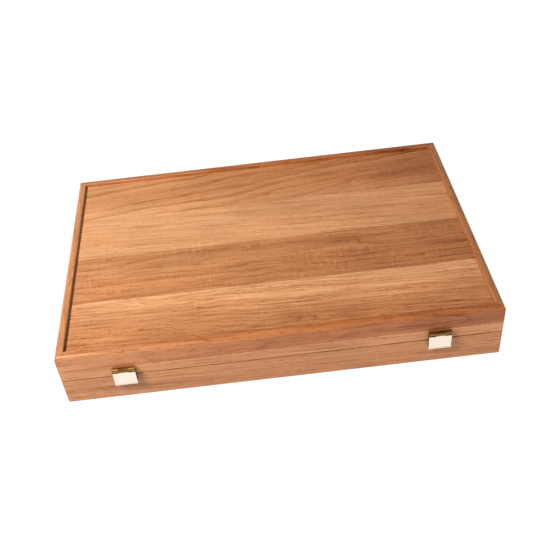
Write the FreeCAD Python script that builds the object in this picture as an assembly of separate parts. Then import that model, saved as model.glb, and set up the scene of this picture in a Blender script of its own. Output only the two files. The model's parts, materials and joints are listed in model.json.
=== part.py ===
import FreeCAD, Part
import os
from FreeCAD import Vector

# Folding backgammon case, closed: two equal wooden halves joined by hinges along the back,
# held by snap clasps on the front, with side racks inside. Millimetres, +Z up.
# The origin is the centre of the wooden footprint on the table, and the front faces -Y.

# Case
case_length = 480.0         # along the hinge line
case_depth = 308.0          # front face to back face
case_height = 76.0          # both halves, closed
wall = 9.5                  # side wall thickness, which is also the rim's width
corner_round = 1.0          # upright outer corners
edge_round = 5.0            # outer edges of the top and the bottom
rim_ease = 1.5              # rounding of the rim's inner edge
rail_ease = 0.6             # rounding of the rack rails' upper edges
seam_gap = 0.3              # air between the closed halves
seam_ease = 0.7             # chamfer of the outer edges along the seam

# Panels
panel_recess = 4.5          # rim stands this far above the panel
panel_thickness = 5.0
groove_depth = 4.0
groove_air = 1.0            # room for the panel to swell, each edge
groove_slip = 0.1           # extra height of the groove over the panel

# Playing field
field_thickness = 1.6
field_slip = 0.1            # gap round the field board
inlay_depth = 0.6
points_per_side = 6
point_length = 190.0
point_gap = 2.0             # bare field between two neighbouring points
lift_gap = 0.3              # air under loose playing pieces

# Racks
rail_thickness = 6.0
divider_thickness = 6.0
tray_length = 60.0          # centre tray for dice and cube
checker_diameter = 37.0
checker_thickness = 10.0
checker_round = 1.2
checker_dish_radius = 12.5
checker_dish_depth = 0.8
checker_gap = 0.1           # between neighbours in a row
checkers_per_row = 15
rack_slip = 2.0             # rack width over the checker's diameter
row_end_gap = 0.3

# Dice and doubling cube
die_size = 12.0
die_round = 1.5
pip_radius = 1.1
pip_depth = 0.45
cube_size = 22.0
cube_round = 2.0
tray_gap = 3.0              # between pieces in the tray

# Back hinges
hinge_inset = 85.0          # hinge centre from the end of the case
hinge_length = 40.0
leaf_thickness = 1.2
leaf_width = 7.3            # from the axis into the wall's edge
hinge_knuckle_radius = 2.2
hinge_axis_out = 0.2        # axis behind the back face
hinge_pin_radius = 1.0
pin_clearance = 0.04        # radial, in every hinge
knuckle_count = 5
knuckle_gap = 0.3           # between knuckles, and round them
screw_radius = 1.0
screw_length = 8.0
screw_head_radius = 1.8
screw_head_depth = 0.8
screw_head_slip = 0.05
screw_slot_width = 0.5
screw_slot_depth = 0.4
screw_spacing = 14.0
screws_per_leaf = 3

# Front clasps
clasp_inset = 69.5          # clasp centre from the end of the case
clasp_axis_above_seam = 12.0
clasp_knuckle_radius = 2.5
clasp_knuckle_air = 0.3     # between the flap's knuckle and the wood
clasp_pin_radius = 0.8
clasp_sheet = 0.8           # brass sheet of every clasp piece
clasp_middle_knuckle = 10.0
flap_width = 24.5
flap_length = 22.0          # axis to the flap's lower edge
flap_top_drop = 2.7         # axis to the flap's upper edge
flap_skirt_air = 1.0        # between the skirts and the wood
flap_border = 1.4
flap_border_height = 0.2
flap_edge_round = 0.35
plate_width = 21.0
plate_foot_above_seam = 1.5
catch_width = 18.0
catch_foot_below_seam = 9.5
catch_height = 8.0
catch_bead_below_seam = 6.4
catch_bead_radius = 1.0
catch_bead_width = 9.0
tongue_width = 7.0
tongue_sheet = 0.5
tongue_gap = 0.4            # between the hook and the bead
tongue_reach = 0.6          # the hook passes under the bead by this much
nail_radius = 0.7
nail_length = 7.0
nail_head_radius = 1.5
nail_head_height = 0.6
nail_offset = 7.0           # nail from the clasp's centre line
plate_nail_above_seam = 4.0
catch_nail_below_seam = 7.0

# Worked out
half_length = case_length / 2
half_depth = case_depth / 2
seam = case_height / 2
half_top = seam - seam_gap / 2
inner_x = half_length - wall
inner_y = half_depth - wall
panel_top = panel_recess + panel_thickness
field_top = panel_top + field_thickness
rack_width = checker_diameter + rack_slip
rail_front = -inner_y + rack_width
rail_back = rail_front + rail_thickness
rack_middle = -inner_y + rack_width / 2
divider_inner = tray_length / 2
divider_outer = divider_inner + divider_thickness
hinge_y = half_depth + hinge_axis_out
hinge_x = half_length - hinge_inset
clasp_x = half_length - clasp_inset
clasp_y = -half_depth - clasp_knuckle_air - clasp_knuckle_radius
clasp_z = seam + clasp_axis_above_seam
flap_front = clasp_y - clasp_knuckle_radius
flap_inside = flap_front + clasp_sheet
bead_z = seam - catch_bead_below_seam
plate_face = -half_depth - clasp_sheet
spill = 1.0                 # cutting shapes run past what they cut


def box(x_range, y_range, z_range):
    size = [high - low for low, high in (x_range, y_range, z_range)]
    return Part.makeBox(*size, Vector(x_range[0], y_range[0], z_range[0]))


def centred(half_size):
    return (-half_size, half_size)


def rod_x(radius, x_range, y, z):
    return Part.makeCylinder(radius, x_range[1] - x_range[0], Vector(x_range[0], y, z), Vector(1, 0, 0))


def extruded_x(outline, x_range):
    """A solid whose side view is an outline of (y, z) points."""
    corners = [Vector(x_range[0], y, z) for y, z in outline]
    face = Part.Face(Part.makePolygon(corners + corners[:1]))
    return face.extrude(Vector(x_range[1] - x_range[0], 0, 0))


def extruded_z(outline, z_range):
    """A solid whose plan is an outline of (x, y) points."""
    corners = [Vector(x, y, z_range[0]) for x, y in outline]
    face = Part.Face(Part.makePolygon(corners + corners[:1]))
    return face.extrude(Vector(0, 0, z_range[1] - z_range[0]))


def fused(shapes):
    return shapes[0].multiFuse(shapes[1:]).removeSplitter()


def moved(shape, x, y=0.0, z=0.0):
    return shape.translated(Vector(x, y, z))


def flipped(shape):
    """The lid's copy of a piece of the base, mirrored in the seam."""
    return shape.mirror(Vector(0, 0, seam), Vector(0, 0, 1))


def edges_where(shape, test):
    return [edge for edge in shape.Edges if test(edge.BoundBox)]


def save(node, shapes, solids=1):
    """Write one node, after making sure that it holds the solids that it should."""
    whole = Part.makeCompound(shapes) if isinstance(shapes, list) else shapes
    pieces = whole.Solids
    if len(pieces) != solids or not all(piece.isValid() for piece in pieces):
        raise ValueError(f"{node} has {len(pieces)} solids, and should have {solids} sound ones")
    result = pieces[0] if solids == 1 else Part.makeCompound(pieces)
    result.exportStep(f"parts/{node}.step")


# ---------------------------------------------------------------- walls

def nail_holes(height):
    """Pilot holes for the clasp nails of one half, with the half lying open side up."""
    holes = []
    for side in (-1, 1):
        for offset in (-nail_offset, nail_offset):
            start = Vector(side * clasp_x + offset, -half_depth - spill, height)
            depth = spill + nail_length - clasp_sheet
            holes.append(Part.makeCylinder(nail_radius, depth, start, Vector(0, 1, 0)))
    return holes


def screw_places():
    """(x, y) of the screws in one leaf, from the leaf's middle."""
    exposed = leaf_width - hinge_knuckle_radius - knuckle_gap
    y = hinge_y - leaf_width + exposed / 2
    first = -screw_spacing * (screws_per_leaf - 1) / 2
    return [(first + index * screw_spacing, y) for index in range(screws_per_leaf)]


def hinge_cuts():
    """Mortise, knuckle groove and pilot holes of both hinges, in the edge of a back wall."""
    cuts = []
    for side in (-1, 1):
        middle = side * hinge_x
        span = (middle - hinge_length / 2, middle + hinge_length / 2)
        cuts.append(box(span, (hinge_y - leaf_width, half_depth + spill),
                        (half_top - leaf_thickness, half_top + spill)))
        groove = (span[0] - knuckle_gap, span[1] + knuckle_gap)
        cuts.append(rod_x(hinge_knuckle_radius + knuckle_gap, groove, hinge_y, seam))
        for x, y in screw_places():
            cuts.append(Part.makeCylinder(screw_radius, screw_length, Vector(middle + x, y, half_top - screw_length)))
    return cuts


def rolled(along_x):
    """A bar the size of a half that is rounded along its outer edges, and eased along the seam,
    on two opposite sides only. It runs past the half's ends."""
    x_extra = spill if along_x else 0
    bar = box(centred(half_length + x_extra), centred(half_depth + spill - x_extra), (0, half_top))

    def runs_along(b):
        return b.XLength > half_length if along_x else b.YLength > half_depth

    bar = bar.makeFillet(edge_round, edges_where(bar, lambda b: runs_along(b) and b.ZMax < 1e-3))
    return bar.makeChamfer(seam_ease, edges_where(bar, lambda b: runs_along(b) and b.ZMin > half_top - 1e-3))


def wall_frame(nail_height):
    """All four walls of a half as one ring, before the mitres part them."""
    block = box(centred(half_length), centred(half_depth), (0, half_top))
    block = block.makeFillet(corner_round, edges_where(block, lambda b: b.ZLength > half_top / 2))
    block = block.common(rolled(True)).common(rolled(False))
    ring = block.cut(box(centred(inner_x), centred(inner_y), (-spill, half_top + spill)))

    def on_inner_rim(b):
        return b.ZMax < 1e-3 and b.XMax < inner_x + 1e-3 and b.XMin > -inner_x - 1e-3 and \
            b.YMax < inner_y + 1e-3 and b.YMin > -inner_y - 1e-3

    ring = ring.makeFillet(rim_ease, edges_where(ring, on_inner_rim))
    groove = box(centred(inner_x + groove_depth), centred(inner_y + groove_depth),
                 (panel_recess, panel_top + groove_slip))
    return ring.cut([groove] + hinge_cuts() + nail_holes(nail_height))


def mitred(x, y, cut, along_x):
    """Plan of one wall: a long trapezoid with its ends cut at 45 degrees."""
    if along_x:
        return [(-x, y), (x, y), (x - cut, y - cut if y > 0 else y + cut), (cut - x, y - cut if y > 0 else y + cut)]
    return [(x, -y), (x, y), (x - cut if x > 0 else x + cut, y - cut), (x - cut if x > 0 else x + cut, cut - y)]


def walls(half, nail_height, turn):
    ring = wall_frame(nail_height)
    reach = wall + spill
    plans = {
        "front": mitred(half_length, -half_depth, reach, True),
        "back": mitred(half_length, half_depth, reach, True),
        "left": mitred(-half_length, half_depth, reach, False),
        "right": mitred(half_length, half_depth, reach, False),
    }
    for side, plan in plans.items():
        wedge = extruded_z(plan, (-spill, half_top + spill))
        save(f"{half}_{side}_wall", turn(ring.common(wedge)))


# ---------------------------------------------------------------- panel, field and racks

def panel():
    edge = groove_depth - groove_air
    return box(centred(inner_x + edge), centred(inner_y + edge), (panel_recess, panel_top))


def point_outline(side, index):
    """Plan of one point of the field: a long triangle from an end wall towards the middle."""
    pitch = (inner_y - rail_back) / points_per_side
    near = rail_back + index * pitch + point_gap / 2
    far = near + pitch - point_gap
    start = side * (inner_x - field_slip)
    return [(start, near), (start, far), (start - side * point_length, (near + far) / 2)]


def points(dark, swap):
    """The light or the dark points of a half. They alternate along each side, and face their opposites."""
    chosen = []
    for side in (-1, 1):
        for index in range(points_per_side):
            is_dark = (index + (side > 0) + swap) % 2 == 0
            if is_dark == dark:
                chosen.append(extruded_z(point_outline(side, index), (field_top - inlay_depth, field_top)))
    return chosen


def field(swap):
    board = box(centred(inner_x - field_slip), (rail_back + field_slip, inner_y - field_slip),
                (panel_top, field_top))
    return board.cut(points(True, swap) + points(False, swap))


def insides(half, swap, turn):
    save(f"{half}_panel", turn(panel()))
    save(f"{half}_field", turn(field(swap)))
    for name, dark in (("light", False), ("dark", True)):
        save(f"{half}_{name}_points", [turn(point) for point in points(dark, swap)], points_per_side)
    rack_floor = box(centred(inner_x), (-inner_y, rail_front), (panel_top, field_top))
    save(f"{half}_rack_floor", turn(rack_floor))
    rail = box(centred(inner_x), (rail_front, rail_back), (panel_top, half_top))
    rail_edges = edges_where(rail, lambda b: b.ZMin > half_top - 1e-3 and b.XLength > 1)
    save(f"{half}_rack_rail", turn(rail.makeFillet(rail_ease, rail_edges)))
    divider = box((divider_inner, divider_outer), (-inner_y, rail_front), (field_top, half_top))
    save(f"{half}_right_divider", turn(divider))
    save(f"{half}_left_divider", turn(divider.mirror(Vector(0, 0, 0), Vector(1, 0, 0))))


# ---------------------------------------------------------------- back hinges

def hinge_leaf(on_base):
    """One leaf with its knuckles, lying in the base half's edge, centred on x = 0."""
    pitch = hinge_length / knuckle_count
    sheet_y = (hinge_y - leaf_width, hinge_y - hinge_knuckle_radius - knuckle_gap)
    sheet_z = (half_top - leaf_thickness, half_top)
    parts = [box(centred(hinge_length / 2), sheet_y, sheet_z)]
    for index in range(knuckle_count):
        if (index % 2 == 0) == on_base:
            start = -hinge_length / 2 + index * pitch
            low = start + (knuckle_gap / 2 if index > 0 else 0)
            high = start + pitch - (knuckle_gap / 2 if index < knuckle_count - 1 else 0)
            parts.append(box((low, high), (sheet_y[0], hinge_y), sheet_z))
            parts.append(rod_x(hinge_knuckle_radius, (low, high), hinge_y, seam))
    leaf = fused(parts)
    bore = rod_x(hinge_pin_radius + pin_clearance, centred(hinge_length / 2 + spill), hinge_y, seam)
    holes = []
    for x, y in screw_places():
        holes.append(Part.makeCylinder(screw_radius, 2 * leaf_thickness, Vector(x, y, half_top - 1.5 * leaf_thickness)))
        sink_start = Vector(x, y, half_top - screw_head_depth - screw_head_slip)
        holes.append(Part.makeCone(screw_radius, screw_head_radius + screw_head_slip,
                                   screw_head_depth + screw_head_slip, sink_start))
    return leaf.cut([bore] + holes)


def hinge_screw():
    """A countersunk screw with its head flush with z = 0 and a slot along x."""
    shank = Part.makeCylinder(screw_radius, screw_length - screw_head_depth, Vector(0, 0, -screw_length))
    head = Part.makeCone(screw_radius, screw_head_radius, screw_head_depth, Vector(0, 0, -screw_head_depth))
    slot = box(centred(screw_head_radius + spill), centred(screw_slot_width / 2), (-screw_slot_depth, spill))
    return shank.fuse(head).removeSplitter().cut(slot)


def hinges():
    screw = hinge_screw()
    for name, side in (("left", -1), ("right", 1)):
        middle = side * hinge_x
        save(f"hinge_{name}_base_leaf", moved(hinge_leaf(True), middle))
        save(f"hinge_{name}_lid_leaf", flipped(moved(hinge_leaf(False), middle)))
        span = (middle - hinge_length / 2, middle + hinge_length / 2)
        save(f"hinge_{name}_pin", rod_x(hinge_pin_radius, span, hinge_y, seam))
    screws = [moved(screw, side * hinge_x + x, y, half_top) for side in (-1, 1) for x, y in screw_places()]
    save("base_hinge_screws", screws, len(screws))
    save("lid_hinge_screws", [flipped(item) for item in screws], len(screws))


# ---------------------------------------------------------------- front clasps

def clasp_plate():
    """The hinge plate of a clasp on the lid, with a knuckle at each side, centred on x = 0."""
    foot = seam + plate_foot_above_seam
    shoulder = clasp_z - flap_top_drop
    ear_inner = clasp_middle_knuckle / 2 + knuckle_gap / 2
    ear_outer = flap_width / 2
    parts = [box(centred(plate_width / 2), (plate_face, -half_depth), (foot, shoulder))]
    for side in (-1, 1):
        span = sorted((side * ear_inner, side * ear_outer))
        parts.append(box(span, (plate_face, -half_depth), (shoulder - spill, clasp_z)))
        parts.append(rod_x(clasp_knuckle_radius, span, clasp_y, clasp_z))
    bore = rod_x(clasp_pin_radius + pin_clearance, centred(flap_width), clasp_y, clasp_z)
    holes = [nail_hole(offset, seam + plate_nail_above_seam) for offset in (-nail_offset, nail_offset)]
    return fused(parts).cut([bore] + holes)


def nail_hole(x, z):
    return Part.makeCylinder(nail_radius, 3 * clasp_sheet, Vector(x, -half_depth - 2 * clasp_sheet, z), Vector(0, 1, 0))


def clasp_catch():
    """The catch on the base: a plate with a half-round bead that the tongue hooks under."""
    foot = seam - catch_foot_below_seam
    plate = box(centred(catch_width / 2), (plate_face, -half_depth), (foot, foot + catch_height))
    bead = rod_x(catch_bead_radius, centred(catch_bead_width / 2), plate_face, bead_z)
    bead = bead.common(box(centred(catch_width), (plate_face - 2 * catch_bead_radius, -half_depth - clasp_sheet / 2),
                           (foot, foot + catch_height)))
    holes = [nail_hole(offset, seam - catch_nail_below_seam) for offset in (-nail_offset, nail_offset)]
    return fused([plate, bead]).cut(holes)


def clasp_flap():
    """The cover that swings on the plate: a dished front with side skirts and one middle knuckle."""
    top = clasp_z - flap_top_drop
    foot = clasp_z - flap_length
    half_width = flap_width / 2
    shell = box(centred(half_width), (flap_front, -half_depth - flap_skirt_air), (foot, top))
    shell = shell.makeFillet(flap_edge_round, edges_where(shell, lambda b: b.YMax < flap_front + 1e-3))
    hollow = box(centred(half_width - clasp_sheet), (flap_inside, -half_depth), (foot - spill, top + spill))
    dish = box(centred(half_width - flap_border), (flap_front - spill, flap_front + flap_border_height),
               (foot + flap_border, top - flap_border))
    shell = shell.cut([hollow, dish])
    tab = box(centred(clasp_middle_knuckle / 2), (flap_front, flap_inside), (top - spill, clasp_z))
    knuckle = rod_x(clasp_knuckle_radius, centred(clasp_middle_knuckle / 2), clasp_y, clasp_z)
    bore = rod_x(clasp_pin_radius + pin_clearance, centred(flap_width), clasp_y, clasp_z)
    return fused([shell, tab, knuckle]).cut(bore)


def clasp_tongue():
    """The spring inside the flap, whose hook lies under the catch's bead."""
    bead_front = plate_face - catch_bead_radius
    hook_top = bead_z - catch_bead_radius - tongue_gap
    hook_tip = bead_front + tongue_reach
    drop_back = bead_front - tongue_gap - tongue_sheet / 2
    fixed_top = clasp_z - 2 * flap_top_drop
    bend_top = bead_z + 3 * catch_bead_radius + tongue_gap
    bend_foot = bead_z + catch_bead_radius
    outline = [
        (flap_inside, fixed_top),
        (flap_inside, bend_top),
        (drop_back - tongue_sheet, bend_foot),
        (drop_back - tongue_sheet, hook_top - tongue_sheet),
        (hook_tip, hook_top - tongue_sheet),
        (hook_tip, hook_top),
        (drop_back, hook_top),
        (drop_back, bend_foot),
        (flap_inside + tongue_sheet, bend_top),
        (flap_inside + tongue_sheet, fixed_top),
    ]
    return extruded_x(outline, centred(tongue_width / 2))


def nail(x, z):
    """A round-headed nail, driven through sheet brass into the front wall."""
    shank = Part.makeCylinder(nail_radius, nail_length, Vector(x, plate_face, z), Vector(0, 1, 0))
    ball_radius = (nail_head_radius ** 2 + nail_head_height ** 2) / (2 * nail_head_height)
    ball = Part.makeSphere(ball_radius, Vector(x, plate_face + ball_radius - nail_head_height, z))
    front = box((x - ball_radius, x + ball_radius), (plate_face - ball_radius, plate_face),
                (z - ball_radius, z + ball_radius))
    return shank.fuse(ball.common(front)).removeSplitter()


def clasps():
    for name, side in (("left", -1), ("right", 1)):
        middle = side * clasp_x
        save(f"{name}_clasp_plate", moved(clasp_plate(), middle))
        pin_span = (middle - flap_width / 2, middle + flap_width / 2)
        save(f"{name}_clasp_pin", rod_x(clasp_pin_radius, pin_span, clasp_y, clasp_z))
        save(f"{name}_clasp_flap", moved(clasp_flap(), middle))
        save(f"{name}_clasp_tongue", moved(clasp_tongue(), middle))
        save(f"{name}_catch", moved(clasp_catch(), middle))
    places = [side * clasp_x + offset for side in (-1, 1) for offset in (-nail_offset, nail_offset)]
    save("clasp_plate_nails", [nail(x, seam + plate_nail_above_seam) for x in places], len(places))
    save("catch_nails", [nail(x, seam - catch_nail_below_seam) for x in places], len(places))


# ---------------------------------------------------------------- playing pieces

def checker(x):
    """A round playing piece standing on its rim, with a shallow dish in each face."""
    height = field_top + lift_gap + checker_diameter / 2
    start = Vector(x, rack_middle, height)
    body = Part.makeCylinder(checker_diameter / 2, checker_thickness, start, Vector(1, 0, 0))
    body = body.makeFillet(checker_round, [edge for edge in body.Edges if edge.BoundBox.XLength < 1e-3])
    dishes = []
    for face_x in (x, x + checker_thickness - checker_dish_depth):
        place = Vector(face_x, rack_middle, height)
        dishes.append(Part.makeCylinder(checker_dish_radius, checker_dish_depth, place, Vector(1, 0, 0)))
    return body.cut(dishes)


def checker_rows():
    pitch = checker_thickness + checker_gap
    row = pitch * checkers_per_row - checker_gap
    left_start = -inner_x + row_end_gap
    right_start = inner_x - row_end_gap - row
    for node, start in (("light_checkers", left_start), ("dark_checkers", right_start)):
        save(node, [checker(start + index * pitch) for index in range(checkers_per_row)], checkers_per_row)


def rounded_cube(size, radius):
    cube = box(centred(size / 2), centred(size / 2), centred(size / 2))
    return cube.makeFillet(radius, cube.Edges)


def pip_layout(number):
    """Places of a face's pips, in thirds of the die."""
    diagonal = [(-1, -1), (1, 1)]
    layout = [(0, 0)] if number % 2 else []
    if number >= 2:
        layout += diagonal
    if number >= 4:
        layout += [(-1, 1), (1, -1)]
    if number == 6:
        layout += [(-1, 0), (1, 0)]
    return layout


def die():
    """A die with drilled pips, whose opposite faces add up to seven."""
    ball_radius = (pip_radius ** 2 + pip_depth ** 2) / (2 * pip_depth)
    out = die_size / 2 + ball_radius - pip_depth
    step = die_size / 4
    facings = {1: (2, 1), 6: (2, -1), 2: (1, 1), 5: (1, -1), 3: (0, 1), 4: (0, -1)}
    pips = []
    for number, (axis, sign) in facings.items():
        for first, second in pip_layout(number):
            place = [first * step, second * step]
            place.insert(axis, sign * out)
            pips.append(Part.makeSphere(ball_radius, Vector(*place)))
    return rounded_cube(die_size, die_round).cut(pips)


def tray_pieces():
    """Two light dice, two dark dice and the doubling cube, lying in the centre tray."""
    loose = die()
    spread = (die_size + tray_gap) / 2
    dice_middle = -divider_inner + tray_gap + die_size + tray_gap / 2
    quarter_turns = {"light_die_1": 0, "light_die_2": 1, "dark_die_1": 2, "dark_die_2": 3}
    corners = [(-1, -1), (-1, 1), (1, -1), (1, 1)]
    bottom = field_top + lift_gap
    for (node, turns), (along, across) in zip(quarter_turns.items(), corners):
        copy = loose.copy()
        copy.rotate(Vector(0, 0, 0), Vector(1, 0, 0), 90 * turns)
        copy.rotate(Vector(0, 0, 0), Vector(0, 0, 1), 90 * turns)
        save(node, moved(copy, dice_middle + along * spread, rack_middle + across * spread, bottom + die_size / 2))
    cube_x = divider_inner - tray_gap - cube_size / 2
    save("doubling_cube", moved(rounded_cube(cube_size, cube_round), cube_x, rack_middle, bottom + cube_size / 2))


os.makedirs("parts", exist_ok=True)
walls("base", seam - catch_nail_below_seam, lambda shape: shape)
walls("lid", seam - plate_nail_above_seam, flipped)
insides("base", 0, lambda shape: shape)
insides("lid", 1, flipped)
hinges()
clasps()
checker_rows()
tray_pieces()
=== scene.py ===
import json
import math

import bmesh
import bpy
from mathutils import Euler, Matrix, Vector

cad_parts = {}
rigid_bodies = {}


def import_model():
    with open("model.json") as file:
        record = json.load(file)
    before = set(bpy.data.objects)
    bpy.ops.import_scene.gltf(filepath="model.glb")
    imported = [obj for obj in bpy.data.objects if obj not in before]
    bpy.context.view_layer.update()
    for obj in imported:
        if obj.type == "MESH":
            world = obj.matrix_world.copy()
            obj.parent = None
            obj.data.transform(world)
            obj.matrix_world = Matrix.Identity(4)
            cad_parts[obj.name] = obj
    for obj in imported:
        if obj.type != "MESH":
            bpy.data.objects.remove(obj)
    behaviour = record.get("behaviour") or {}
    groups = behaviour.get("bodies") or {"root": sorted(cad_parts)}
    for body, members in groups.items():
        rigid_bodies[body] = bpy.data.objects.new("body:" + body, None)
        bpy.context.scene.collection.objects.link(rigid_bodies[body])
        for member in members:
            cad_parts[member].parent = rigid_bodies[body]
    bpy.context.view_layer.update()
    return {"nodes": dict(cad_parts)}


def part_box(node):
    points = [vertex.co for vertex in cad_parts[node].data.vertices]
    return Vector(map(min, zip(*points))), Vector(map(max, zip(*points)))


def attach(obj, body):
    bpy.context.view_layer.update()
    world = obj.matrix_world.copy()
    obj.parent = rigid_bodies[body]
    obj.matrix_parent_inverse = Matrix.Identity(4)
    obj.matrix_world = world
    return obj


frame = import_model()
nodes = frame["nodes"]


# ------------------------------------------------------------------ walls
# Eight mitred walls, four to a half, of plywood faced with walnut veneer and lacquered satin. The
# front's veneer was laid before the box was sawn in two, so its bands run on across the seam.

MILLIMETRES = 1000.0  # in a metre: shaders and boxes below are worked out in millimetres


class Wire:
    """A value on its way through a material. Arithmetic on it adds Math nodes."""

    def __init__(self, tree, socket=None):
        self.tree = tree
        self.socket = socket

    def node(self, kind, settings=None, sockets=None, out=0):
        """Adds a node, sets it, plugs values or wires into its sockets, and gives its output."""
        made = self.tree.nodes.new("ShaderNode" + kind)
        for key, value in (settings or {}).items():
            if key == "stops":
                ramp = made.color_ramp.elements
                while len(ramp) < len(value):
                    ramp.new(1.0)
                for stop, (position, colour) in zip(ramp, value):
                    stop.position = position
                    stop.color = (*colour, 1.0)
            else:
                setattr(made, key, value)
        for key, value in (sockets or {}).items():
            if isinstance(value, Wire):
                self.tree.links.new(value.socket, made.inputs[key])
            else:
                made.inputs[key].default_value = value
        return Wire(self.tree, made.outputs[out] if made.outputs else None)

    def maths(self, operation, *values):
        return self.node("Math", {"operation": operation}, dict(enumerate(values)))

    def __add__(self, other):
        return self.maths("ADD", self, other)

    def __sub__(self, other):
        return self.maths("SUBTRACT", self, other)

    def __mul__(self, other):
        return self.maths("MULTIPLY", self, other)

    def __truediv__(self, other):
        return self.maths("DIVIDE", self, other)

    def __radd__(self, other):
        return self.maths("ADD", other, self)

    def __rsub__(self, other):
        return self.maths("SUBTRACT", other, self)

    def __rmul__(self, other):
        return self.maths("MULTIPLY", other, self)

    def __rtruediv__(self, other):
        return self.maths("DIVIDE", other, self)

    def __gt__(self, other):
        return self.maths("GREATER_THAN", self, other)

    def __lt__(self, other):
        return self.maths("LESS_THAN", self, other)

    def absolute(self):
        return self.maths("ABSOLUTE", self)

    def root(self):
        return self.maths("SQRT", self)

    def larger(self, other):
        return self.maths("MAXIMUM", self, other)

    def smaller(self, other):
        return self.maths("MINIMUM", self, other)


def paint(red, green, blue):
    """A colour as it reads on a colour chart, 0 to 255, in the linear values that shaders take."""
    def linear(value):
        part = value / 255
        return part / 12.92 if part <= 0.04045 else ((part + 0.055) / 1.055) ** 2.4
    return (linear(red), linear(green), linear(blue))


def begin(name):
    """A new empty material, and the point being shaded in millimetres: x, y and z."""
    material = bpy.data.materials.new(name)
    material.use_nodes = True
    material.node_tree.nodes.clear()
    bare = Wire(material.node_tree)
    place = bare.node("TexCoord", out="Object")
    axes = [bare.node("SeparateXYZ", sockets={0: place}, out=axis) for axis in range(3)]
    return material, [axis * MILLIMETRES for axis in axes]


def noise(x, y, z, detail=2.0, roughness=0.5):
    """Cloudy noise from 0 to 1 at a point given as three wires or numbers."""
    point = x.node("CombineXYZ", sockets={0: x, 1: y, 2: z})
    return x.node("TexNoise", {"noise_dimensions": "3D"},
                  {"Vector": point, "Scale": 1.0, "Detail": detail, "Roughness": roughness})


def between(value, low, high, start=0.0, end=1.0):
    """Start below low and end above high, with a smooth change between them."""
    return value.node("MapRange", {"interpolation_type": "SMOOTHSTEP"},
                      {"Value": value, "From Min": low, "From Max": high, "To Min": start, "To Max": end})


def blend(factor, colour, other, how="MIX"):
    """One colour at factor 0 and the other, or their product, at 1. Each is a wire or a triple."""
    first, second = (end if isinstance(end, Wire) else (*end, 1.0) for end in (colour, other))
    return factor.node("Mix", {"data_type": "RGBA", "blend_type": how}, {0: factor, 6: first, 7: second}, 2)


def surface(material, colour, roughness, height=None, relief=0.0001, **fixed):
    """Ends a material. Height is a wire from 0 to 1, and relief its size in metres."""
    plugs = {"Base Color": colour, "Roughness": roughness}
    for key, value in fixed.items():
        plugs[key.replace("_", " ").replace("Ior", "IOR")] = value
    if height is not None:
        bump = {"Height": height, "Distance": relief, "Strength": 1.0}
        plugs["Normal"] = height.node("Bump", sockets=bump)
    shader = Wire(material.node_tree).node("BsdfPrincipled", sockets=plugs)
    shader.node("OutputMaterial", sockets={"Surface": shader})
    return material


def dress(material, *names):
    """Puts a material on CAD pieces."""
    for name in names:
        for place in nodes[name].material_slots:
            place.material = material


# From the dark late wood to the palest sapwood
WALNUT = [(0.0, paint(90, 48, 22)), (0.25, paint(139, 82, 44)), (0.5, paint(173, 113, 69)),
          (0.75, paint(201, 145, 100)), (1.0, paint(227, 179, 134))]
seed_step = 173.0  # how far along the log, in millimetres, the next seed's wood is cut
piece_step = 61.0  # and how far along it the next of a row of like pieces


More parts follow.
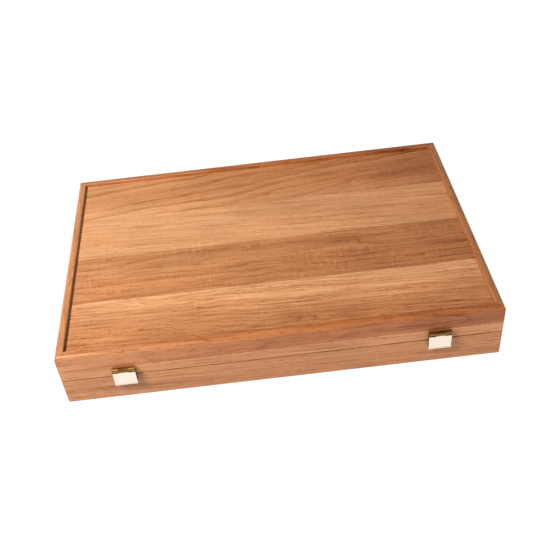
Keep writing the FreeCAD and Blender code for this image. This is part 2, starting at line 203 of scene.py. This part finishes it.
def timber(name, grain, strips, palette=WALNUT, seed=0.0, gloss=0.1, pitch=None, eyes=()):
    """Lacquered wood. Grain is the axis that the fibres follow, and strips are the veneers that
    lie side by side across it. Each runs from its edge up to the next one's, with its own tone and
    warmth. Its heart and what is below it say how far away its growth rings' centre is, its rise
    and lean how they slant, and its ring how wide they are. Pitch is the spacing along x of a row
    of like pieces that share the material, so that no two are cut from the same wood. Eyes are the
    places, sizes, rings and darkness of the closed figures round a buried knot."""
    material, (x, y, z) = begin(name)
    place, across, deep = {"x": (x, z, y), "x flat": (x, y, z), "y": (y, z, x)}[grain]
    along = place
    if pitch:
        along = along + piece_step * x.maths("FLOOR", x / pitch)
    along = along + seed * seed_step
    steps = [across > strip["edge"] for strip in strips[1:]]

    def chosen(key, plain=0.0):
        """What each strip gives for a key, as a wire, or as a number if there is only one."""
        values = [strip.get(key, plain) for strip in strips]
        total = values[0]
        for before, after, step in zip(values, values[1:], steps):
            if after != before:
                total = total + (after - before) * step
        return total

    number = chosen("number")
    line = across + chosen("lean") * place

    def drawn(length, breadth, shift=number, detail=2.0, roughness=0.5):
        """Noise drawn out along the fibres. Length and breadth are its usual size in millimetres."""
        return noise(along / length, line / breadth, deep / breadth + shift, detail, roughness)

    # Growth rings round the heart: how far this point of the veneer lies from it, in rings
    wobble = noise(along / 110, line / 34, deep / 30 + number, 3.0) - 0.5
    off_centre = line - chosen("heart") + wobble * chosen("wave", 18.0)
    below = chosen("below", 14.0) + chosen("rise", 0.05) * place + wobble * 6 + deep * 0.6
    reach = (off_centre * off_centre + below * below).root()
    rings = reach / chosen("ring", 7.0) + drawn(30, 4) * 0.45
    shade = 0.0
    for spot, height, length, breadth, turns, dark in eyes:
        out_along = (place - spot) / length + wobble
        out_across = (across - height) / breadth + wobble * 0.6
        nearness = 1.0 / (out_along * out_along + out_across * out_across + 1.0)
        nearness = nearness * nearness
        rings = rings + nearness * turns
        shade = nearness * dark + shade
    late = rings.node("ValToRGB", {"stops": [(0.0, (0.25,) * 3), (0.05, (0.0,) * 3), (0.55, (0.08,) * 3),
                                             (0.84, (0.45,) * 3), (0.94, (1.0,) * 3), (1.0, (0.25,) * 3)]},
                      {"Fac": rings.maths("FRACT", rings)})
    late = late.node("RGBToBW", sockets={0: late})
    patch = between(drawn(160, 16, number + 4.0, 3.0), 0.36, 0.62)

    # What runs along the fibres: broad streaks and clouds, fine lines, cross flecks, dashes, pores
    streak = drawn(380, 8, number, 4.0, 0.62) - 0.5
    cloud = drawn(90, 38, number + 9.0) - 0.5
    fibre = drawn(45, 1.3, 0.0, 3.0, 0.7) - 0.5
    hair = between(drawn(60, 2.1, number, 2.0, 0.6), 0.46, 0.70)
    fleck = (drawn(3.5, 14, 0.0) - 0.5) * between(drawn(30, 22, 5.0), 0.42, 0.62)
    dash = between(drawn(9, 1.3, 0.0), 0.58, 0.67) * between(drawn(70, 7, 0.0), 0.38, 0.62, 0.25, 1.0)
    pores = between(drawn(6, 0.35, 0.0), 0.62, 0.72)

    # Each strip's tone can also fall off along x, darker towards the right: painted light falloff from the
    # light at the left, laid into the wood.
    tone = chosen("tone") + chosen("painted_falloff") * place + cloud * chosen("cloud", 0.30)
    if any("by" in strip for strip in strips):
        tone = tone + between(across, chosen("from", 0.0), chosen("to", 1.0)) * chosen("by")
    tone = tone + streak * chosen("streak", 0.42) + fibre * 0.30 + fleck * chosen("fleck", 0.2)
    tone = tone - late * (patch * 0.8 + 0.2) * chosen("figure", 0.2) - hair * chosen("hair", 0.13)
    tone = tone - dash * chosen("dash", 0.22) - pores * 0.10 - shade + 0.08
    for strip in strips[1:]:
        gap = (across - strip["edge"]).absolute()
        tone = tone - between(gap, 0.3, 1.0, strip.get("joint", 0.08), 0.0)
    colour = tone.node("ValToRGB", {"stops": palette}, {"Fac": tone})
    warm = between(cloud + chosen("warmth") + chosen("warmer") * place, -0.3, 0.6, 0.0, 0.6)
    colour = blend(warm, colour, paint(255, 222, 180), "MULTIPLY")
    dullness = 0.38 + fibre * 0.14 + pores * 0.2
    height = 0.6 + fibre * 0.25 - pores * 0.5 - dash * 0.2
    return surface(material, colour, dullness, height, 0.00006, Coat_Weight=gloss, Coat_Roughness=0.25,
                   Specular_IOR_Level=0.3)


seam = 38.0
front_strips = [
    {"edge": -10.0, "tone": 0.52, "heart": 12.0, "below": 80.0, "rise": 0.01, "ring": 4.0, "figure": 0.14,
     "lean": 0.03},
    {"edge": seam, "joint": 0.30, "tone": 0.60, "warmth": 0.05, "heart": 20.0, "below": 70.0,
     "rise": 0.01, "ring": 4.5, "figure": 0.12, "lean": 0.02},
    {"edge": 53.0, "tone": 0.45, "warmth": 0.5, "warmer": 0.0024, "heart": 66.0, "below": 7.0, "rise": 0.05,
     "ring": 5.0, "figure": 0.30, "painted_falloff": -0.0005},
]
side_strips = [
    {"edge": -10.0, "tone": 0.54, "heart": 16.0, "below": 50.0, "rise": 0.03, "ring": 5.0, "figure": 0.16,
     "lean": -0.01},
    {"edge": 48.0, "tone": 0.57, "heart": 60.0, "below": 12.0, "rise": 0.05, "ring": 5.0, "figure": 0.22,
     "warmth": -0.2},
]
# The right walls take the left walls' veneer 0.2 darker in tone: painted shade, for the right side lying
# away from the light.
painted_shade_strips = [{**strip, "tone": strip["tone"] - 0.20} for strip in side_strips]
front_eyes = [(-65.0, 62.0, 30.0, 7.0, 3.0, 0.08), (30.0, 66.0, 35.0, 6.0, 2.5, 0.08),
              (150.0, 64.0, 45.0, 6.0, 2.5, 0.10)]
dress(timber("walnut_front", "x", front_strips, seed=1.0, gloss=0.0, eyes=front_eyes),
      "base_front_wall", "lid_front_wall")
dress(timber("walnut_back", "x", front_strips, seed=7.0), "base_back_wall", "lid_back_wall")
dress(timber("walnut_left", "y", side_strips, seed=3.0), "base_left_wall", "lid_left_wall")
dress(timber("walnut_right", "y", painted_shade_strips, seed=5.0), "base_right_wall", "lid_right_wall")


# ------------------------------------------------------------------ panels
# The top and the bottom are 5 mm panels that float in the walls' grooves. Each is faced with four
# leaves of walnut that run along the case side by side, from red-brown heart to pale sapwood.

leaf = 72.5
panel_strips = [
    {"edge": -2 * leaf - 20, "tone": 0.52, "heart": -220.0, "below": 60.0, "rise": 0.02,
     "ring": 4.2, "figure": 0.26, "lean": 0.03, "from": -130.0, "to": -76.0, "by": 0.25, "hair": 0.22,
     "dash": 0.34, "streak": 0.5},
    {"edge": -leaf, "number": 3.0, "tone": 0.48, "heart": 30.0, "below": 20.0, "rise": 0.01, "ring": 8.0,
     "figure": 0.22, "wave": 30.0, "fleck": 0.4, "lean": 0.02, "from": -60.0, "to": -30.0, "by": 0.03,
     "painted_falloff": -0.0004},
    {"edge": 0.0, "number": 6.0, "tone": 0.70, "heart": 110.0, "below": 90.0, "rise": 0.01, "ring": 5.0,
     "figure": 0.12, "lean": 0.07, "painted_falloff": -0.0003},
    {"edge": leaf, "number": 9.0, "tone": 0.67, "warmth": 0.1, "heart": 210.0, "below": 60.0, "rise": 0.02,
     "ring": 11.0, "figure": 0.26, "wave": 34.0, "lean": -0.10, "painted_falloff": -0.0006, "from": 74.0,
     "to": 112.0, "by": -0.12},
]
panel_eyes = [(85.0, -16.0, 30.0, 9.0, 3.0, 0.14), (205.0, -10.0, 45.0, 7.0, 2.2, 0.08),
              (-60.0, -8.0, 60.0, 6.0, 1.5, 0.06), (-208.0, 26.0, 6.0, 3.0, 2.0, 0.16),
              (180.0, 98.0, 70.0, 12.0, 2.5, 0.14)]
dress(timber("walnut_top", "x flat", panel_strips, seed=0.0, eyes=panel_eyes), "lid_panel")
dress(timber("walnut_bottom", "x flat", panel_strips, seed=11.0), "base_panel")


# ------------------------------------------------------------------ playing fields
# Each half's field is a thin walnut board let into the well, with twelve long triangles of pale
# and of dark veneer laid flush into pockets in it. They alternate, and face their opposites.

plain = [{"edge": -400.0, "tone": 0.40, "warmth": 0.3, "heart": 20.0, "below": 30.0, "rise": 0.05,
          "ring": 7.0, "figure": 0.2}]
MAPLE = [(0.0, paint(150, 108, 66)), (0.4, paint(205, 168, 118)), (0.7, paint(226, 194, 146)),
         (1.0, paint(240, 216, 176))]
WENGE = [(0.0, paint(22, 12, 8)), (0.4, paint(48, 28, 18)), (0.7, paint(74, 44, 28)),
         (1.0, paint(104, 66, 42))]
dress(timber("walnut_field", "x flat", plain, seed=13.0), "base_field", "lid_field")
pale = [{"edge": -400.0, "tone": 0.66, "heart": 0.0, "below": 40.0, "rise": 0.03, "ring": 5.0,
         "figure": 0.16}]
dress(timber("pale_inlay", "x flat", pale, MAPLE, 17.0), "base_light_points", "lid_light_points")
dress(timber("dark_inlay", "x flat", pale, WENGE, 19.0), "base_dark_points", "lid_dark_points")


# ------------------------------------------------------------------ racks
# A rail glued along the panel makes the side rack, and two dividers part it into a rack for each
# player and a middle tray. They are solid walnut, and the rack's floor is veneer like the field.

dress(timber("walnut_rails", "x", side_strips, seed=23.0), "base_rack_rail", "lid_rack_rail")
dress(timber("walnut_dividers", "y", side_strips, seed=29.0),
      "base_left_divider", "base_right_divider", "lid_left_divider", "lid_right_divider")
dress(timber("walnut_rack_floor", "x flat", plain, seed=31.0), "base_rack_floor", "lid_rack_floor")


# ------------------------------------------------------------------ back hinges
# Two butt hinges of rolled brass, let into the walls' edges and screwed from the seam side, each
# turning on a loose pin. The brass is polished, with fine scratches along its length.

def metal(name, colour, dulled_and_shaded, tarnish, roughness=0.2, scratch=1.0, painted_shade_bounds=None):
    """Polished sheet or wire metal. The dull colour is where handling has tarnished it, and also painted
    shade: the last argument gives a face in y and a height in z, and behind the one and above the other
    the colour is darkened as painted shade, for the dark reflections on a cover's side skirts and knuckle."""
    material, (x, y, z) = begin(name)
    cloud = noise(x / 9, y / 9, z / 9, 4.0, 0.6)
    wear_and_painted_shade = between(cloud, 0.45, 0.75) * tarnish
    if painted_shade_bounds:
        face, top = painted_shade_bounds
        # Painted shade: behind the front face (the side skirts) and above the height (the knuckle) the
        # metal takes the dull colour.
        painted_skirt_shade = between(y, face + 0.25, face + 0.8)
        wear_and_painted_shade = wear_and_painted_shade.larger(painted_skirt_shade.larger(between(z, top - 0.4, top + 0.2)))
    shade = blend(wear_and_painted_shade, colour, dulled_and_shaded)
    lines = noise(x / 6, y / 0.08, z / 0.08, 2.0, 0.7)
    rough = roughness + (cloud - 0.5) * 0.12 + (lines - 0.5) * 0.12 * scratch
    return surface(material, shade, rough, lines, 0.000004 * scratch, Metallic=1.0)


BRASS = paint(222, 184, 112)
OLD_BRASS = paint(150, 108, 52)
hinge_brass = metal("hinge_brass", BRASS, OLD_BRASS, 0.7, 0.26)
pin_brass = metal("pin_brass", BRASS, OLD_BRASS, 0.4, 0.2)
screw_brass = metal("screw_brass", BRASS, OLD_BRASS, 0.9, 0.3)
for end in ("left", "right"):
    dress(hinge_brass, f"hinge_{end}_base_leaf", f"hinge_{end}_lid_leaf")
    dress(pin_brass, f"hinge_{end}_pin")
dress(screw_brass, "base_hinge_screws", "lid_hinge_screws")


# ------------------------------------------------------------------ front clasps
# Two snap clasps of gilt brass. A plate nailed to the lid carries a pin, and on it swings a bright
# pressed cover with a steel tongue inside, which hooks under the bead of a catch on the base.

GILT = paint(240, 223, 206)
# The cover has no tarnish of its own: its dark colour is only painted shade, laid on its side skirts behind
# cover_front and on its knuckle above knuckle_foot.
cover_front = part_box("left_clasp_flap")[0][1] * MILLIMETRES
knuckle_foot = 48.0
cover_gilt = metal("cover_gilt", GILT, paint(138, 94, 48), 0.0, 0.24, 0.5, (cover_front, knuckle_foot))
# The plate's brass is darker than the cover's: partly its own tarnish, and partly painted shade for the
# dark reflections in its side knuckles.
plate_gilt = metal("plate_gilt", paint(158, 112, 58), paint(112, 70, 34), 0.8, 0.32)
tongue_steel = metal("tongue_steel", paint(196, 196, 200), paint(140, 138, 136), 0.4, 0.25)
for end in ("left", "right"):
    dress(cover_gilt, f"{end}_clasp_flap")
    dress(plate_gilt, f"{end}_clasp_plate", f"{end}_catch", f"{end}_clasp_pin")
    dress(tongue_steel, f"{end}_clasp_tongue")
dress(plate_gilt, "clasp_plate_nails", "catch_nails")


# ------------------------------------------------------------------ checkers
# Fifteen pale and fifteen dark checkers of turned hardwood, each with a shallow dish in both
# faces, stand on edge in the racks. No two come from the same bit of the stick.

checker_pitch = 10.1
dress(timber("pale_checkers", "y", pale, MAPLE, 37.0, 0.4, pitch=checker_pitch), "light_checkers")
dress(timber("dark_checkers", "y", pale, WENGE, 41.0, 0.4, pitch=checker_pitch), "dark_checkers")


# ------------------------------------------------------------------ dice and doubling cube
# Two ivory and two dark dice of polished resin with drilled, painted pips, and a larger ivory
# doubling cube with printed numerals. Resin this thick has faint clouds in it.

IVORY = paint(238, 228, 204)
OLD_IVORY = paint(228, 212, 178)
BROWN = paint(58, 32, 20)
DARK_BROWN = paint(40, 21, 13)
paint_depth = 0.03
rounded_edge = 1.6  # a little more than the edges' own rounding, in millimetres


def resin(name, colour, cloud_colour, node=None, pip_colour=None):
    """Polished resin. A die's pips are painted: they are what lies below its faces, off its edges."""
    material, place = begin(name)
    x, y, z = place
    cloud = noise(x / 7, y / 7, z / 7, 3.0)
    shade = blend(between(cloud, 0.35, 0.7), colour, cloud_colour)
    rub = noise(x / 0.5, y / 0.5, z / 0.5)
    if node:
        low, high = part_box(node)
        face = (high[2] - low[2]) / 2 * MILLIMETRES
        middles = [(near + far) / 2 * MILLIMETRES for near, far in zip(low, high)]
        off = [(axis - centre).absolute() for axis, centre in zip(place, middles)]
        largest = off[0].larger(off[1]).larger(off[2])
        smallest = off[0].smaller(off[1]).smaller(off[2])
        middle = off[0] + off[1] + off[2] - largest - smallest
        painted = (largest < face - paint_depth) * (middle < face - rounded_edge)
        shade = blend(painted, shade, pip_colour)
    return surface(material, shade, 0.16 + rub * 0.12, rub, 0.000003, Coat_Weight=0.3, Coat_Roughness=0.1)


for number in (1, 2):
    light = f"light_die_{number}"
    dark = f"dark_die_{number}"
    dress(resin(f"ivory_die_{number}", IVORY, OLD_IVORY, light, DARK_BROWN), light)
    dress(resin(f"brown_die_{number}", BROWN, DARK_BROWN, dark, IVORY), dark)
dress(resin("ivory_cube", IVORY, OLD_IVORY), "doubling_cube")

numeral_ink, (ink_x, ink_y, ink_z) = begin("numeral_ink")
blot = noise(ink_x / 1.5, ink_y / 1.5, ink_z / 1.5, 3.0)
surface(numeral_ink, blend(blot, DARK_BROWN, paint(74, 42, 28)), 0.35 + blot * 0.2, blot, 0.00001)
cube_low, cube_high = (Vector(corner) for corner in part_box("doubling_cube"))
cube_centre = (cube_low + cube_high) / 2
numeral_height = 0.013
numeral_stroke = 0.0002  # how much the ink spreads past the type's own outline
numeral_depth = 0.00015
closest_points = 0.000005
scene_links = bpy.context.scene.collection.objects
turns = {"64": (0, 0, 0), "2": (90, 0, 0), "4": (90, 0, 90), "8": (90, 0, 180), "16": (90, 0, -90),
         "32": (180, 0, 0)}
for numeral, turn in turns.items():
    outline = bpy.data.curves.new(f"numeral_{numeral}", "FONT")
    outline.body = numeral
    outline.size = numeral_height
    outline.offset = numeral_stroke
    outline.extrude = numeral_depth / 2
    outline.align_x = "CENTER"
    outline.align_y = "CENTER"
    outline.resolution_u = 6
    stencil = bpy.data.objects.new("stencil", outline)
    scene_links.link(stencil)
    printed = bpy.data.meshes.new_from_object(stencil)
    bpy.data.objects.remove(stencil)
    mesh = bmesh.new()
    mesh.from_mesh(printed)
    bmesh.ops.remove_doubles(mesh, verts=mesh.verts, dist=closest_points)
    bmesh.ops.translate(mesh, verts=mesh.verts, vec=(0.0, 0.0, (cube_high.z - cube_low.z) / 2))
    facing = Euler([math.radians(angle) for angle in turn]).to_matrix()
    bmesh.ops.rotate(mesh, verts=mesh.verts, cent=(0.0, 0.0, 0.0), matrix=facing)
    bmesh.ops.translate(mesh, verts=mesh.verts, vec=cube_centre)
    bmesh.ops.recalc_face_normals(mesh, faces=mesh.faces)
    mesh.to_mesh(printed)
    mesh.free()
    printed.materials.clear()
    printed.materials.append(numeral_ink)
    label = bpy.data.objects.new(f"cube_numeral_{numeral}", printed)
    scene_links.link(label)
    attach(label, "doubling_cube")


# ------------------------------------------------------------------ table, light and camera
# A white table in a small studio: one soft light high up at the front left, white walls low down
# and a dim ceiling, so that the wood keeps its colour and the brass has something to mirror.

scene = bpy.context.scene
table_reach = 60.0
table_mesh = bmesh.new()
bmesh.ops.create_grid(table_mesh, x_segments=1, y_segments=1, size=table_reach)
table_data = bpy.data.meshes.new("table_top")
table_mesh.to_mesh(table_data)
table_mesh.free()
table = bpy.data.objects.new("table_top", table_data)
scene_links.link(table)
table_white, (table_x, table_y, table_z) = begin("table_white")
speck = noise(table_x / 4, table_y / 4, table_z / 4)
table_data.materials.append(surface(table_white, (0.08, 0.08, 0.08, 1.0), 0.6 + speck * 0.1,
                                    Emission_Color=(1.0, 1.0, 1.0, 1.0), Emission_Strength=0.99))

softbox = bpy.data.lights.new("key", "AREA")
softbox.shape = "SQUARE"
softbox.size = 0.32
softbox.energy = 30.5
key = bpy.data.objects.new("key", softbox)
key.location = (-0.84, -0.58, 1.2)
aim = Vector((0.0, 0.0, 0.03)) - key.location
key.rotation_euler = aim.to_track_quat("-Z", "Y").to_euler()
scene_links.link(key)

ceiling_grey = 0.27
wall_grey = 0.95
world = bpy.data.worlds.new("studio")
world.use_nodes = True
studio = Wire(world.node_tree)
height = studio.node("SeparateXYZ", sockets={0: studio.node("TexCoord")}, out=2)
brightness = between(height, 0.02, 0.3, wall_grey, ceiling_grey)
grey = brightness.node("CombineXYZ", sockets={0: brightness, 1: brightness, 2: brightness})
world.node_tree.links.new(grey.socket, world.node_tree.nodes["Background"].inputs["Color"])
scene.world = world
scene.view_settings.view_transform = "Standard"

camera = bpy.data.objects.new("camera", bpy.data.cameras.new("camera"))
camera.location = (-0.0168, -0.7202, 0.7162)
camera.rotation_euler = [math.radians(turn) for turn in (50.189, 4.844, -4.418)]
camera.data.lens = 52.617
camera.data.shift_x = 0.0378
camera.data.shift_y = -0.1184
camera.data.clip_start = 0.01
scene_links.link(camera)
scene.camera = camera
